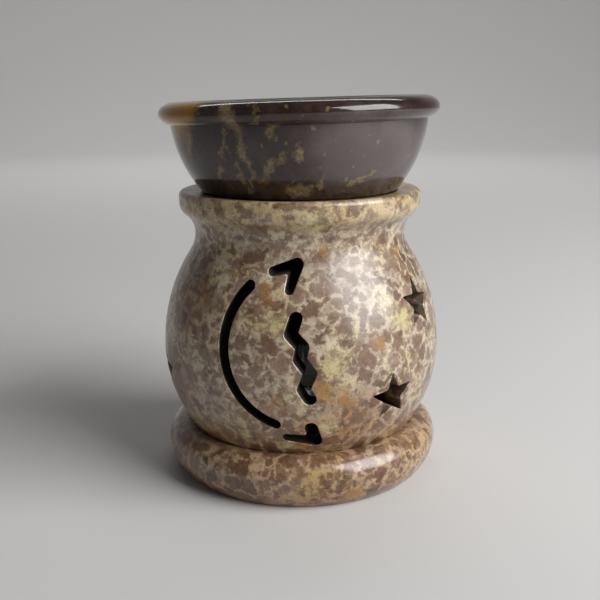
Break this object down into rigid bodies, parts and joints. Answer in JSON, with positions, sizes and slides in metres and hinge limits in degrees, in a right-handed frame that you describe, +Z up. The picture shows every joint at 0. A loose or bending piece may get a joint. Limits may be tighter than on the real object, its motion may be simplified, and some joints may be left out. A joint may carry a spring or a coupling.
{
  "type": "essential oil burner",
  "caption": "Turned stone oil burner: a round pot on a ring foot, pierced with a crescent moon and stars, with a loose round bowl over a tealight.",
  "frame": {"origin": "centre of the flat underside of the foot", "axes": "+Z up along the turning axis of the pot; the moon side faces -Y, with +X to the right as seen from there"},
  "size_m": [0.0762, 0.0762, 0.1017],
  "materials": {
    "pot_stone": "satin",
    "bowl_stone": "gloss",
    "cup_aluminium": "satin",
    "candle_wax": "satin",
    "sustainer_steel": "satin",
    "wick_cotton": "matte"
  },
  "bodies": {
    "pot": {"pot": "pot_stone"},
    "bowl": {"bowl": "bowl_stone"},
    "tealight": {"tealight_cup": "cup_aluminium", "tealight_wax": "candle_wax", "wick_sustainer": "sustainer_steel", "tealight_wick": "wick_cotton"}
  },
  "joints": [
    {"name": "bowl_lift", "type": "slide", "parent": "pot", "child": "bowl", "axis": [0, 0, 1], "range_m": [0, 0.06]},
    {"name": "tealight_lift", "type": "slide", "parent": "pot", "child": "tealight", "axis": [0, 0, 1], "range_m": [0, 0.036]}
  ]
}
